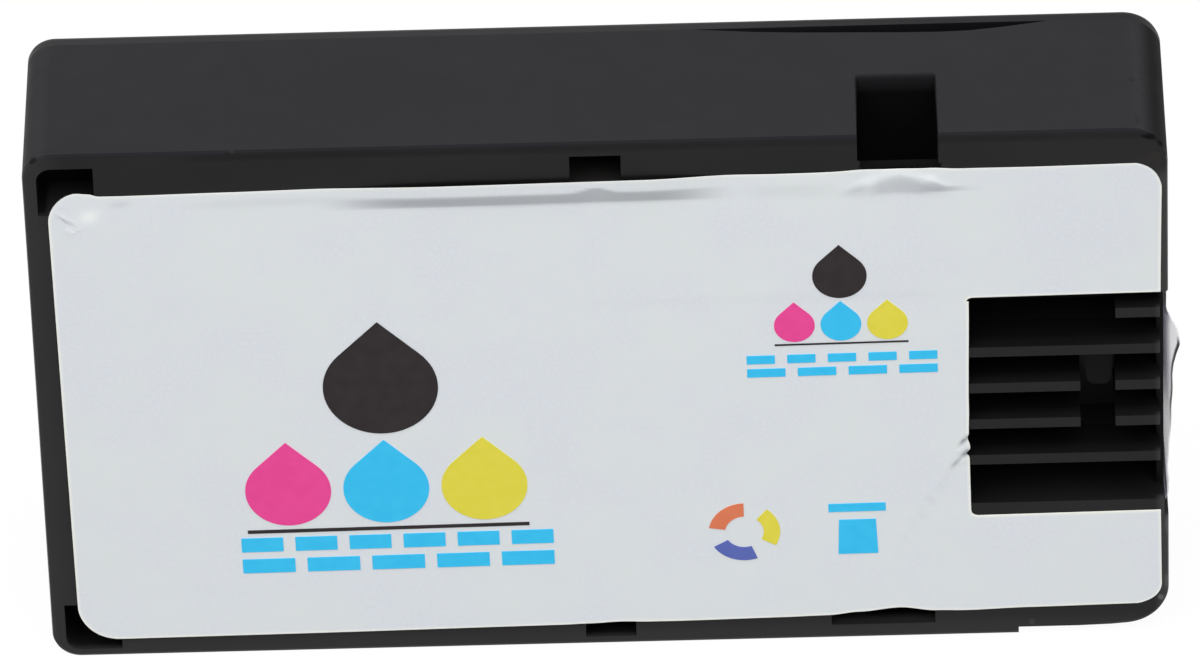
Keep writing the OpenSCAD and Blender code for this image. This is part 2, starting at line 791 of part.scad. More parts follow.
// Pull-off film over the ports: stuck to the land, with its near edge bowed away
module seal_film() {
    points = [for (side = [0, 1], i = [0:film_rows], j = [0:film_cols]) film_point(i, j, side*film_t)];
    outer = [for (i = [0:film_rows - 1], j = [0:film_cols - 1])
        each quad(cell(i, j, 1), cell(i + 1, j, 1), cell(i + 1, j + 1, 1), cell(i, j + 1, 1))];
    inner = [for (i = [0:film_rows - 1], j = [0:film_cols - 1])
        each quad(cell(i, j, 0), cell(i, j + 1, 0), cell(i + 1, j + 1, 0), cell(i + 1, j, 0))];
    ends = [for (j = [0:film_cols - 1]) each concat(
        quad(cell(0, j, 1), cell(0, j + 1, 1), cell(0, j + 1, 0), cell(0, j, 0)),
        quad(cell(film_rows, j, 0), cell(film_rows, j + 1, 0),
             cell(film_rows, j + 1, 1), cell(film_rows, j, 1)))];
    sides = [for (i = [0:film_rows - 1]) each concat(
        quad(cell(i, 0, 0), cell(i + 1, 0, 0), cell(i + 1, 0, 1), cell(i, 0, 1)),
        quad(cell(i, film_cols, 1), cell(i + 1, film_cols, 1),
             cell(i + 1, film_cols, 0), cell(i, film_cols, 0)))];
    color([0.82, 0.82, 0.88]) place() polyhedron(points, concat(outer, inner, ends, sides));
}

// Works on the label's own face: x to the right and y up from its centre
module on_label(y0, y1) {
    translate([label_x, 0, label_z]) rotate([0, -label_tilt, 0]) upright(y0, y1) children();
}

// Label outline: rounded at the left, cut across the corners at the right, open over the bay
function label_outline() = let (
    right = label_w/2, top = label_h/2,
    sill = label_bottom + window_z, lintel = sill + window_h, jamb = right - window_l,
    crown_w = 0.75*label_cut_w, crown_h = 0.5*label_cut_h) concat(
    [[right - label_cut_w, label_bottom],
     [right - label_cut_w + crown_w, label_bottom + label_cut_h - crown_h],
     [right, label_bottom + label_cut_h], [right, sill]],
    reverse(arc([jamb + window_r, sill + window_r], window_r, 180)),
    reverse(arc([jamb + window_r, lintel - window_r], window_r, 90)),
    [[right, lintel], [right, top - label_cut_h],
     [right - label_cut_w + crown_w, top - label_cut_h + crown_h], [right - label_cut_w, top]],
    arc([label_left + label_top_r, top - label_top_r], label_top_r, 90),
    arc([label_left + label_foot_r, label_bottom + label_foot_r], label_foot_r, 180));

module side_label() {
    color([0.86, 0.87, 0.89]) place() on_label(-label_t, 0) polygon(label_outline());
}

// Printed fields, measured from the label's left and lower edges
module printed(x, z) {
    place() on_label(-label_t - ink_t, -label_t)
        translate([label_left + x, label_bottom + z]) children();
}

// Drop standing on its round end, centred on that end
module drop(r) {
    circle(r);
    rotate(45) square(r);
}

function drop_h(r) = r*(1 + sqrt(2));
motif_h = drop_h(small_drop_r) + drop_space + drop_h(drop_r);
row_z = small_drop_r - motif_h/2;

// One drop of the motif: a large one stands over a row of three
module motif_drop(ink) {
    if (ink == "black") translate([0, motif_h/2 - drop_h(drop_r) + drop_r]) drop(drop_r);
    if (ink == "magenta") translate([-drop_pitch, row_z]) drop(small_drop_r);
    if (ink == "cyan") translate([0, row_z]) drop(small_drop_r);
    if (ink == "yellow") translate([drop_pitch, row_z]) drop(small_drop_r);
}

// Thin rule under a motif
module motif_rule() {
    half = drop_pitch + small_drop_r;
    translate([-half, -motif_h/2 - rule_space - rule_h]) square([2*half, rule_h]);
}

module both_motifs(ink) {
    printed(motif_x, motif_z) motif_drop(ink);
    printed(small_motif_x, small_motif_z) scale(small_motif) motif_drop(ink);
}

// A line of equal dashes with square ends
module dashes(line_l, height, count) {
    pitch = (line_l + dash_gap)/count;
    for (i = [0:count - 1])
        translate([-line_l/2 + i*pitch, 0]) square([pitch - dash_gap, height]);
}

// One of the ring's three equal parts, with a gap after it
module ring_part(part) {
    reach = ring_d;
    turn = 360/3;
    span = turn*2/3;
    a = part*turn - turn/4;
    intersection() {
        difference() {
            circle(d = ring_d);
            circle(d = ring_d - 2*ring_band);
        }
        polygon([[0, 0], reach*[cos(a), sin(a)], reach*[cos(a + span/2), sin(a + span/2)],
                 reach*[cos(a + span), sin(a + span)]]);
    }
}

module beaker() {
    foot_w = 0.7*beaker_w;
    rim_h = 0.16*beaker_h;
    polygon([[-foot_w/2, -beaker_h/2], [foot_w/2, -beaker_h/2],
             [beaker_w/2 - rim_h, beaker_h/2 - 2*rim_h], [rim_h - beaker_w/2, beaker_h/2 - 2*rim_h]]);
    translate([-beaker_w/2, beaker_h/2 - rim_h]) square([beaker_w, rim_h]);
}

module print_black() {
    color([0.21, 0.2, 0.2]) {
        both_motifs("black");
        printed(motif_x, motif_z) motif_rule();
        printed(small_motif_x, small_motif_z) scale(small_motif) motif_rule();
    }
}

module print_magenta() {
    color([0.88, 0.29, 0.57]) both_motifs("magenta");
}

module print_yellow() {
    color([0.85, 0.82, 0.28]) {
        both_motifs("yellow");
        printed(ring_x, mark_z) ring_part(0);
    }
}

module print_cyan() {
    color([0.25, 0.74, 0.92]) {
        both_motifs("cyan");
        printed(dash_x, dash_z + dash_pitch) dashes(dash_line_l, dash_h, 6);
        printed(dash_x, dash_z) dashes(dash_line_l, dash_h, 5);
        printed(small_motif_x, small_dash_z + small_dash_pitch) dashes(small_dash_line_l, small_dash_h, 5);
        printed(small_motif_x, small_dash_z) dashes(small_dash_line_l, small_dash_h, 4);
        printed(beaker_x, mark_z) beaker();
    }
}

module print_orange() {
    color([0.85, 0.45, 0.3]) printed(ring_x, mark_z) ring_part(1);
}

module print_blue() {
    color([0.33, 0.38, 0.66]) printed(ring_x, mark_z) ring_part(2);
}

case_shell();
back_cover();
chamber_film();
foam_block();
vent_filter();
fill_plug();
outlet_wick();
outlet_screen();
outlet_seal();
outlet_collar();
air_seal();
air_collar();
chip_board();
chip_contacts();
chip_memory();
seal_film();
side_label();
print_black();
print_magenta();
print_yellow();
print_cyan();
print_orange();
print_blue();
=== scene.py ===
import math

import bpy
import numpy as np
from mathutils import Matrix, Vector
from mathutils.geometry import delaunay_2d_cdt


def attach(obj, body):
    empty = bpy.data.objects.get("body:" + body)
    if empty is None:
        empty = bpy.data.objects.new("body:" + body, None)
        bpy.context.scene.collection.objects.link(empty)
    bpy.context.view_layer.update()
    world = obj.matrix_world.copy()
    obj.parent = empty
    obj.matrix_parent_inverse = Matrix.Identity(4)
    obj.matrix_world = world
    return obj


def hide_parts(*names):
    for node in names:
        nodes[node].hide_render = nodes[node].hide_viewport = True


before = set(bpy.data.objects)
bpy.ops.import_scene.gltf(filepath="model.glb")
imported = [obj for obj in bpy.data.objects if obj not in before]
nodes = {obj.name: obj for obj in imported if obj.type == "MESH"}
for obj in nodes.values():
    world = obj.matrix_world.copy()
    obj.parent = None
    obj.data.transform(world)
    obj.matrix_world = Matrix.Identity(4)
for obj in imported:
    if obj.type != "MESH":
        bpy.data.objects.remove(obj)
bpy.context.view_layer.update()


# The camera stands where the photographer stood: far off with a long lens, a little to the
# right of the cartridge's middle and looking down at its label side.
def put_in_scene(name, data):
    made = bpy.data.objects.new(name, data)
    bpy.context.scene.collection.objects.link(made)
    return made


elevation, yaw, roll = (math.radians(angle) for angle in (36.8372, -1.0035, -2.0176))
camera_away = 1.265336
aim = Vector((-0.00064, -0.009915, 0.038011))
forward = Vector((math.sin(yaw) * math.cos(elevation), math.cos(yaw) * math.cos(elevation),
                  -math.sin(elevation)))
level = Vector((math.cos(yaw), -math.sin(yaw), 0))
upward = level.cross(forward)
image_right = math.cos(roll) * level + math.sin(roll) * upward
image_up = math.cos(roll) * upward - math.sin(roll) * level
camera = put_in_scene("camera", bpy.data.cameras.new("camera"))
camera.matrix_world = Matrix.Translation(aim - camera_away * forward) @ Matrix(
    (image_right, image_up, -forward)).transposed().to_4x4()
camera.data.sensor_fit = "HORIZONTAL"
camera.data.sensor_width = 36
camera.data.lens = 391.91
camera.data.clip_end = 20
bpy.context.scene.camera = camera


# The tray is one injection moulding in black polystyrene: outer walls, slot, ribbed bay and
# pockets together. Its surface is a fine satin grain with flow marks from the mould, and it is
# scuffed along the outer edges and nicked at the corners. Painted shade darkens its top, crease,
# slot, bay, upper corners and the strip under the slot's lip, and painted light makes its pockets paler.
class Wire:
    """One output in a material's nodes. Sums written on it become Math nodes."""

    def __init__(self, tree, socket):
        self.tree, self.socket = tree, socket

    def node(self, kind, settings=None, inputs=None, out=0):
        made = self.tree.nodes.new("ShaderNode" + kind)
        for key, value in (settings or {}).items():
            setattr(made, key, value)
        for key, value in (inputs or {}).items():
            if isinstance(value, Wire):
                self.tree.links.new(value.socket, made.inputs[key])
            else:
                made.inputs[key].default_value = value
        return Wire(self.tree, made.outputs[out])

    def math(self, operation, a, b=0.0):
        return self.node("Math", {"operation": operation}, {0: a, 1: b})

    def __add__(self, other):
        return self.math("ADD", self, other)

    def __sub__(self, other):
        return self.math("SUBTRACT", self, other)

    def __rsub__(self, other):
        return self.math("SUBTRACT", other, self)

    def __mul__(self, other):
        return self.math("MULTIPLY", self, other)

    __radd__ = __add__
    __rmul__ = __mul__

    def noise(self, size_mm, detail=3.0, stretch=(1, 1, 1)):
        place = self.node("VectorMath", {"operation": "MULTIPLY"}, {0: self, 1: stretch})
        return self.node("TexNoise", {}, {"Vector": place, "Scale": 1000 / size_mm, "Detail": detail})

    def ramp(self, low, high):
        return self.node("MapRange", {"interpolation_type": "SMOOTHSTEP"},
                         {"Value": self, "From Min": low, "From Max": high})

    def band(self, low, full, fading, high):
        """1 from full to fading, and 0 below low and above high."""
        return self.ramp(low, full) * (1 - self.ramp(fading, high))

    def mix(self, a, b):
        """Colour a where this wire is 0, and b where it is 1."""
        a, b = (c if isinstance(c, Wire) else (*c, 1) for c in (a, b))
        return self.node("Mix", {"data_type": "RGBA"}, {0: self, 6: a, 7: b}, out=2)

    def bump(self, height_mm, strength=1.0, under=None):
        inputs = {"Height": self, "Distance": height_mm / 1000, "Strength": strength}
        if under:
            inputs["Normal"] = under
        return self.node("Bump", {}, inputs)

    def along(self, name):
        """Place along an axis of the piece, in mm."""
        return self.node("SeparateXYZ", {}, {"Vector": self}, out=name) * 1000


def most(first, *others):
    """The largest of several wires."""
    for other in others:
        first = first.math("MAXIMUM", first, other)
    return first


def start_finish(name, **constants):
    """A new material with its shader, and the wire of the piece's own coordinates."""
    made = bpy.data.materials.new(name)
    made.use_nodes = True
    tree = made.node_tree
    shader = tree.nodes["Principled BSDF"]
    for key, value in constants.items():
        shader.inputs[key.replace("_", " ")].default_value = value
    place = Wire(tree, tree.nodes.new("ShaderNodeTexCoord").outputs["Object"])
    return made, shader, place


def feed(shader, **wires):
    for key, wire in wires.items():
        wire.tree.links.new(wire.socket, shader.inputs[key.replace("_", " ")])


def dress(node, finish):
    nodes[node].data.materials.clear()
    nodes[node].data.materials.append(finish)


def spot(place, centre, size, turn=0.0):
    """1 in the middle of a small oval, 0 outside it; places and sizes in mm, turned in degrees."""
    moved = place.node("Mapping", {"vector_type": "TEXTURE"}, {
        "Vector": place, "Location": [c / 1000 for c in centre], "Scale": [c / 1000 for c in size],
        "Rotation": (0, math.radians(turn), 0)})
    return 1 - place.node("VectorMath", {"operation": "LENGTH"}, {0: moved}, out=1).ramp(0.35, 1)


def spots(place, marks):
    """Several ovals together, each given as its strength, centre, half sizes and turn."""
    return sum(spot(place, *oval) * strength for strength, *oval in marks)


def satin_plastic(name, dark, light, rough=0.42, wear_and_shade=None):
    finish, shader, place = start_finish(name, Specular_IOR_Level=0.2)
    flow = place.noise(9, 4, (0.35, 1, 1)).ramp(0.35, 0.7)
    specks = place.noise(0.5, 2).ramp(0.62, 0.75)
    colour = (flow * 0.7 + specks * 0.3).mix(dark, light)
    # Where the mask from wear_and_shade is high, the plastic turns to a matt near-black. On the case this
    # is painted shade, and real only in the nicks.
    if wear_and_shade:
        colour, shade_and_nicks = wear_and_shade(place, colour)
        matt = place.node("BsdfDiffuse", {}, {"Color": (0.004, 0.004, 0.0042, 1)})
        worn_and_shaded = place.node("MixShader", {}, {0: shade_and_nicks, 1: Wire(place.tree, shader.outputs[0]), 2: matt})
        place.tree.links.new(worn_and_shaded.socket, place.tree.nodes["Material Output"].inputs["Surface"])
    feed(shader,
         Base_Color=colour,
         Roughness=place.noise(3, 4) * 0.16 + (rough - 0.08),
         Normal=place.noise(0.16, 2).bump(0.004, 0.6, place.noise(6, 2).bump(0.05, 0.35)))
    return finish


scuffs = [(0.3, (53.6, -9.9, 4.2), (0.5, 0.7, 0.4), 60), (0.2, (54.3, -9.8, 57.6), (0.2, 0.6, 0.3)),
          (0.15, (54.3, -9.9, 13.1), (0.4, 0.8, 1.5)), (0.15, (54.2, -9.9, 6.2), (0.4, 0.8, 1.2)),
          (0.075, (40.9, -9.9, 1.5), (0.4, 0.5, 0.5)), (0.03, (52.1, -0.6, 61.0), (0.9, 0.4, 0.4)),
          (0.03, (52.6, -7.2, 61.0), (0.4, 0.9, 0.4)), (0.03, (-35.3, -9.7, 60.95), (0.35, 0.3, 0.2))]
nicks = [(0.68, (-54.6, -9.7, 60.4), (0.85, 1.0, 0.36), -20),
         (0.85, (52.9, -9.9, 60.1), (1.7, 0.9, 0.42), 12), (0.85, (53.9, -9.9, 59.3), (1.0, 1.2, 0.55), 45),
         (0.255, (52.0, -1.2, 61.0), (0.35, 1.0, 0.4)), (0.255, (51.2, -1.6, 61.0), (0.5, 0.3, 0.4)),
         (0.255, (51.9, -3.2, 61.0), (0.5, 0.4, 0.4)), (0.255, (51.6, -8.2, 61.0), (0.4, 1.0, 0.4)),
         (0.255, (-35.8, -9.8, 60.7), (0.6, 0.5, 0.3))]


def case_wear_and_shade(place, colour):
    """The case's colour: paler on the front at the blank end, along the foot and at the port end,
    scuffed pale in spots, stained at one corner, painted darker and bluer on top as painted shade,
    and painted paler in the pockets as painted light. And from 0 to 1 how matt and dark it is:
    real in the nicks, and painted shade in the crease, under the slot's lip, in the slot and the
    bay, and on the upper corners."""
    across, deep, high = (place.along(side) for side in "XYZ")
    face = 1 - deep.ramp(-9.7, -9)
    blank_end, foot = 1 - across.ramp(-55.6, -50.8), 1 - high.ramp(0.8, 3)
    colour = (most(blank_end, foot) * face * 0.75).mix(colour, (0.022, 0.0205, 0.0215))
    port_end = across.ramp(52.9, 53.8) * (1 - high.ramp(55, 57)) * face
    colour = (port_end * 0.9).mix(colour, (0.034, 0.032, 0.033))
    # Painted shade: the top is made darker and bluer than the front, for how the light falls on it. It is
    # the same plastic.
    top = most(high.ramp(60.4, 61.1), high.ramp(57.2, 60.4) * deep.ramp(-9.9, -9.4))
    colour = (top * 0.6).mix(colour, (0.0024, 0.0012, 0.0048))
    stain = spot(place, (52.9, -9.9, 57.4), (1.6, 1.2, 1.6)) * place.noise(0.6, 2).ramp(0.3, 0.7)
    colour = (stain * 0.25).mix(colour, (0.03, 0.018, 0.016))
    colour = spots(place, scuffs).mix(colour, (0.25, 0.25, 0.25))
    # The slot's area: it gets painted shade, and is kept out of the pockets' painted light.
    shaded_slot = across.band(24.5, 24.7, 32.3, 32.5) * deep.band(-8.8, -7.8, -0.5, 0.4)
    # Painted light: the pockets' insides are made paler, as if more light reached into them.
    pocket_light = (across.band(-53.7, -53.2, 33.5, 34) * deep.band(-9.7, -9.2, -4.6, -4)
               * high.band(1.2, 1.8, 58.8, 59.2) * (1 - shaded_slot))
    colour = (pocket_light * 0.8).mix(colour, (0.024, 0.024, 0.023))
    # Painted shade: a patchy dark line along most of the crease between the front and the top.
    crease = (across.ramp(-44, -36) * face * high.band(59.8, 60.3, 60.6, 60.9)
              * place.noise(16, 2).ramp(0.3, 0.55))
    # Painted shadow on the strip of front wall under the slot, above the label's edge.
    lip_shadow = (across.band(24.6, 25, 32.5, 32.8) * (1 - deep.ramp(-8.5, -8)) * high.band(55, 55.5, 57.6, 57.8)
           * (high.ramp(56, 57.3) * 0.36 + 0.58))
    # Painted shade on the bay's faces set back behind the front.
    bay_shade = across.ramp(34, 34.5) * deep.band(-8.9, -7.8, -5.5, -5) * high.band(16.4, 16.6, 41.4, 41.6)
    # Painted shade on the upper corners at both ends, stronger at the port end.
    corner_shade = ((across.ramp(51.5, 53.5) + (1 - across.ramp(-55.2, -53.5)) * 0.6)
               * deep.ramp(-9.9, -9.4) * high.ramp(55.5, 58.5))
    # The nicks are real marks. The rest of this matt near-black mask is painted shade.
    nicked = place.math("MINIMUM", spots(place, nicks), 0.85)
    return colour, most(crease * 0.26, lip_shadow, bay_shade * 0.62, corner_shade * 0.78, shaded_slot * 0.85, nicked)


case_finish = satin_plastic("case_satin", (0.0058, 0.0058, 0.0063), (0.0095, 0.0095, 0.0102),
                            wear_and_shade=case_wear_and_shade)
dress("case_shell", case_finish)


# The back cover is a thin moulding in the same plastic, vibration-welded to the tray. Its edge
# shows along the top, a little paler towards the blank end.
def cover_tone(place, colour):
    """The cover's colour, paler towards the blank end, and how matt and dark it is: a little, at the top of
    the port end.
    """
    across, high = place.along("X"), place.along("Z")
    colour = ((1 - across.ramp(-5, 35)) * 0.6).mix(colour, (0.018, 0.018, 0.019))
    return colour, across.ramp(5, 40) * high.ramp(55, 58) * 0.16


cover_finish = satin_plastic("cover_satin", (0.0058, 0.0054, 0.0068), (0.0095, 0.009, 0.0108), 0.46,
                             wear_and_shade=cover_tone)
dress("back_cover", cover_finish)

# The filling plug is a small black stopper pressed flush into the blank end.
dress("fill_plug", satin_plastic("plug_satin", (0.012, 0.012, 0.013), (0.02, 0.02, 0.021), 0.5))

# The outlet's and the air port's collars are turned-looking rings of the same black plastic.
collar_finish = satin_plastic("collar_satin", (0.02, 0.02, 0.021), (0.03, 0.03, 0.031), 0.38)
dress("outlet_collar", collar_finish)
dress("air_collar", collar_finish)


# The label is coated paper with its adhesive, 0.12 mm thick, cut with round corners at the
# left and open over the bay. It was put on by hand, so it ripples under its top edge, swells
# over the slot's mouth, is crumpled at one corner and frayed where the bay's edge cuts it.
def smooth(low, high, value):
    t = np.clip((value - low) / (high - low), 0, 1)
    return t * t * (3 - 2 * t)


def wave(points, at):
    """Smooth curve through (place, height) points."""
    places, heights = zip(*points)
    i = np.clip(np.searchsorted(places, at) - 1, 0, len(places) - 2)
    a, b = np.take(places, i), np.take(places, i + 1)
    return np.take(heights, i) + (np.take(heights, i + 1) - np.take(heights, i)) * smooth(a, b, at)


# Sizes in mm. The label's own places are u to the right and v up from its centre
label_x, label_z, label_turn = 0.24, 29.7, math.radians(0.5)
label_face, label_thick = -10.035, 0.12
half_w, half_h = 53.35, 26.95
sill, lintel, jamb = -15.1, 11.55, 34.65
sill_r, lintel_r = 0.8, 0.7
top_left_r, foot_left_r = 3, 4
top_wave = [(-54, 0.1), (-50.6, 0.36), (-49.4, 0.24), (-48.3, -0.08), (-46, -0.1), (-36, -0.05),
            (-26, 0.03), (-15, 0.12), (3, 0.14), (22.5, 0.12), (25.5, 0.26), (28.5, 0.4), (31.5, 0.2),
            (34.5, 0.02), (42, -0.05), (54, 0)]
foot_wave = [(-54, -0.1), (-30, -0.12), (-6, -0.06), (-3.2, 0), (0, 0.12), (3, 0), (6, -0.03), (16, 0.03),
             (20.4, 0.1), (23.5, 0.42), (27.5, 0.8), (31, 0.3), (34, 0.2), (40, 0.34), (54, 0.42)]
jamb_wave = [(-15, 0.05), (-8.4, 0.03), (-7.85, 0.03), (-7.35, -0.32), (-6.9, 0.1), (-6.4, 0.1),
             (-5.9, -0.04), (-5.45, -0.16), (-5, 0), (-2, 0.07), (12, 0.3)]
port_lean, port_bow = 0.0108, 0.15
rim_step = 0.3


def corner(centre, r, start, count=14):
    return [(centre[0] + r * math.cos(math.radians(start + 90 * i / count)),
             centre[1] + r * math.sin(math.radians(start + 90 * i / count))) for i in range(count + 1)]


def bent(a, knee, b, count=10):
    """A curve from a to b that leans towards the knee between them."""
    shares = [i / count for i in range(count + 1)]
    return [tuple((1 - t) ** 2 * a[k] + 2 * t * (1 - t) * knee[k] + t * t * b[k] for k in (0, 1))
            for t in shares]


rim = (bent((half_w - 2.4, -half_h), (half_w - 0.25, 0.4 - half_h), (half_w, 2.7 - half_h))
       + [(half_w, sill)]
       + corner((jamb + sill_r, sill + sill_r), sill_r, 180)[::-1]
       + corner((jamb + lintel_r, lintel - lintel_r), lintel_r, 90)[::-1]
       + [(half_w, lintel)]
       + bent((half_w, half_h - 2.8), (half_w - 0.35, half_h - 0.5), (half_w - 2.5, half_h))
       + corner((top_left_r - half_w, half_h - top_left_r), top_left_r, 90)
       + corner((foot_left_r - half_w, foot_left_r - half_h), foot_left_r, 180))
outline = []
for (u0, v0), (u1, v1) in zip(rim, rim[1:] + rim[:1]):
    length = math.hypot(u1 - u0, v1 - v0)
    steps = max(1, round(length / rim_step))
    if length > 1e-6:
        outline += [(u0 + (u1 - u0) * i / steps, v0 + (v1 - v0) * i / steps) for i in range(steps)]
outline = np.array(outline)
u, v = outline.T
near_top, near_foot = smooth(half_h - 3, half_h, v), smooth(3 - half_h, -half_h, v)
by_jamb = (abs(u - jamb) < 0.85) & (v > sill + 0.5) & (v < lintel - 0.5)
by_port = u > half_w - 3.3
outline = np.stack([u + by_jamb * wave(jamb_wave, v) + by_port * (port_lean * v + port_bow * (v / 24) ** 2),
                    v + near_top * wave(top_wave, u) + near_foot * wave(foot_wave, u)], axis=1)


def grid(low, high, step):
    us, vs = (np.arange(low[k], high[k], step) + step / 2 for k in (0, 1))
    return np.stack(np.meshgrid(us, vs), -1).reshape(-1, 2)


# Points of the mesh: a coarse lattice, finer where the paper is creased, and two rings of
# points just inside the outline
coarse_step = 0.9
fine_fields = [((-53.4, 22.2), (38, 27.6), 0.28), ((-53.4, 18), (-45, 22.3), 0.28),
               ((31.5, -10.5), (34.7, -4.5), 0.13)]
coarse = grid((-half_w, -half_h), (half_w, half_h + 0.4), coarse_step)
for low, high, step in fine_fields:
    coarse = coarse[~((coarse > low) & (coarse < high)).all(axis=1)]
fine = [grid(low, high, step) for low, high, step in fine_fields]
inside = np.unique(np.round(np.concatenate([coarse] + fine), 3), axis=0)
ahead = np.roll(outline, -1, axis=0)
run = ahead - np.roll(outline, 1, axis=0)
inward = np.stack([-run[:, 1], run[:, 0]], axis=1) / np.hypot(*run.T)[:, None]
rings = [outline + gap * inward for gap in (0.16, 0.36)]
margin = np.repeat([0.46, 0.12, 0.32], [len(inside), len(outline), len(outline)])
inside = np.concatenate([inside] + rings)
keep = np.zeros(len(inside), bool)
reach = np.full(len(inside), 1e9)
for (u0, v0), (u1, v1) in zip(outline, ahead):
    crosses = (v0 > inside[:, 1]) != (v1 > inside[:, 1])
    if v0 != v1:
        keep ^= crosses & (inside[:, 0] < u0 + (inside[:, 1] - v0) * (u1 - u0) / (v1 - v0))
    reach = np.minimum(reach, np.hypot(inside[:, 0] - u0, inside[:, 1] - v0))
inside = inside[keep & (reach > margin)]
flat = [Vector(p) for p in np.concatenate([outline, inside])]
loop = [(i, (i + 1) % len(outline)) for i in range(len(outline))]
flat, _, cells, _, _, _ = delaunay_2d_cdt(flat, loop, [], 1, 1e-5)
flat = np.array([tuple(p) for p in flat])

# Folds in the paper, as start, end, width and height, and marks of painted shade and painted
# highlight where it is creased, as strength, centre, half sizes and turn
folds = [((-52.6, 25.1), (-50.6, 23.7), 0.2, 0.06), ((-51.7, 22.7), (-50.3, 23.4), 0.2, 0.12),
         ((34.6, -6.2), (33.4, -7.4), 0.2, 0.05), ((34.6, -7.9), (33.5, -8.8), 0.2, 0.04),
         ((33.6, -8.6), (28.0, -18.5), 0.3, 0.02)]
painted_shade_marks = [(0.2, (-46.4, 25.9), (1.0, 0.35), 6), (0.45, (-51.6, 24.1), (1.1, 0.1), -38),
              (0.4, (-50.9, 23.2), (0.35, 0.12), 40), (1.1, (34.2, -5.7), (0.65, 0.2), 52),
              (1.3, (34.35, -7.25), (0.6, 0.2), 45), (0.6, (33.35, -8.45), (0.75, 0.22), 50),
              (0.12, (30.5, -13.5), (5.0, 0.3), 60), (0.05, (-42, -20.8), (8, 0.3))]
painted_highlight_marks = [(0.6, (-49.4, 24.6), (1.0, 0.75), 25), (1.0, (-51.0, 22.9), (0.5, 0.16), 35)]


def below_top(u, v):
    """Distance down from the label's upper edge."""
    return half_h + wave(top_wave, u) - v


def crest(u, usual):
    """How far below the edge the ripple's crest lies; it dips over the middle pocket."""
    return usual - 0.6 * np.exp(-((u + 0.6) / 1.5) ** 2)


def toe(u):
    """How far below the edge the ripple ends."""
    return 2.8 - 0.3 * (1 - smooth(-26, -8, u))


def fold(u, v, start, end, width, height):
    """A small ridge that runs from start to end and dies away at both."""
    start, end = np.array(start), np.array(end)
    along = end - start
    length = np.hypot(*along)
    t = ((u - start[0]) * along[0] + (v - start[1]) * along[1]) / length ** 2
    off = ((u - start[0]) * along[1] - (v - start[1]) * along[0]) / length
    return height * np.exp(-(off / width) ** 2) * smooth(-0.1, 0.2, t) * (1 - smooth(0.7, 1.1, t))


def label_height(u, v):
    """How far the label stands off the case, in mm."""
    down = below_top(u, v)
    top = crest(u, 1.25)
    ripple = (smooth(-28, -15, u) * (1 - smooth(4, 13, u))
              + 0.22 * smooth(12, 17, u) * (1 - smooth(20, 24, u)))
    slope = np.clip((down - top) / (toe(u) - top), 0, 1)
    rise = (0.45 * ripple * (0.93 + 0.07 * smooth(0, 1, down / top))
            * (1 - 0.7 * slope - 0.3 * smooth(0, 1, slope)))
    spread = 2.6 + 3.0 * smooth(0.4, 2.7, down)
    swell = (0.3 * (0.75 + 0.25 * smooth(0, 0.9, down)) * (1 - smooth(0.9, 3.4, down))
             * (1 - smooth(spread - 2.4, spread + 0.8, abs(u - 28.5))))
    return rise + swell + sum(fold(u, v, *crease) for crease in folds)


def patch(u, v, centre, size, turn=0.0):
    """A soft oval, 1 at its centre; turned counterclockwise in degrees."""
    c, s = math.cos(math.radians(turn)), math.sin(math.radians(turn))
    u, v = u - centre[0], v - centre[1]
    return np.exp(-((u * c + v * s) / size[0]) ** 2 - ((v * c - u * s) / size[1]) ** 2)


def patches(u, v, marks):
    return sum(strength * patch(u, v, *oval) for strength, *oval in marks)


def label_shade(u, v):
    """How far the paper is greyed where it turns from the light, from 0 to 1."""
    down = below_top(u, v)
    top = crest(u, 1.2)
    ripple = smooth(-28.5, -19, u) * (1 - smooth(5, 14, u))
    # Painted shade: a little over the whole label, more towards its upper right, and in the marks.
    shade = 0.012 + 0.02 * smooth(25, 50, u) * smooth(0, 20, v) + patches(u, v, painted_shade_marks)
    shade += (0.47 * ripple * smooth(top - 0.15, top + 0.25, down)
              * (1 - smooth(toe(u) - 0.2, toe(u) + 0.05, down)))
    shade += 0.1 * ripple * (1 - smooth(top - 0.2, top, down))
    shade += (0.12 * smooth(-42, -36, u) * (1 - smooth(-30, -20, u))
              * np.exp(-((down - 1.3) / 0.5) ** 2))
    shade += (0.05 * smooth(-8, 0, u) * (1 - smooth(30, 34, u))
              * np.exp(-((v - 11.9 - 0.01 * u) / 0.3) ** 2))
    return shade + slot_shade(u, down)


def slot_shade(u, down):
    """The shade below the swell over the slot's mouth, with its tail to the right."""
    upper = np.interp(u, [25.8, 27, 28.8, 31, 33, 35, 37.5], [1.3, 0.7, 0.55, 1.0, 1.85, 2.05, 2.2])
    lower = np.interp(u, [26, 30, 33, 35, 37.5], [3.0, 3.05, 2.65, 2.45, 2.4])
    tail = np.interp(u, [25.6, 26.6, 30, 32.5, 34.5, 37], [0, 0.35, 0.5, 0.95, 0.75, 0])
    under = (0.55 * tail * smooth(upper - 0.1, upper + 0.35, down)
             * (1 - smooth(lower - 0.25, lower + 0.1, down)))
    return under + 0.3 * patch(u, down, (24.5, 2.1), (1.1, 0.42), -20)


def label_gleam(u, v):
    """Where bent paper catches the light, from 0 to 1."""
    return patches(u, v, painted_highlight_marks) + 0.25 * patch(u, below_top(u, v), (31.6, 1.0), (1.1, 0.35), -25)


def label_cut(u, v):
    """The paler cut edge, from 0 to 1; weakest along the top."""
    to_edge = np.full(len(u), 1e9)
    for u0, v0 in outline:
        to_edge = np.minimum(to_edge, np.hypot(u - u0, v - v0))
    return (1 - smooth(0.02, 0.34, to_edge)) * (0.75 - 0.35 * smooth(half_h - 2, half_h - 1, v))


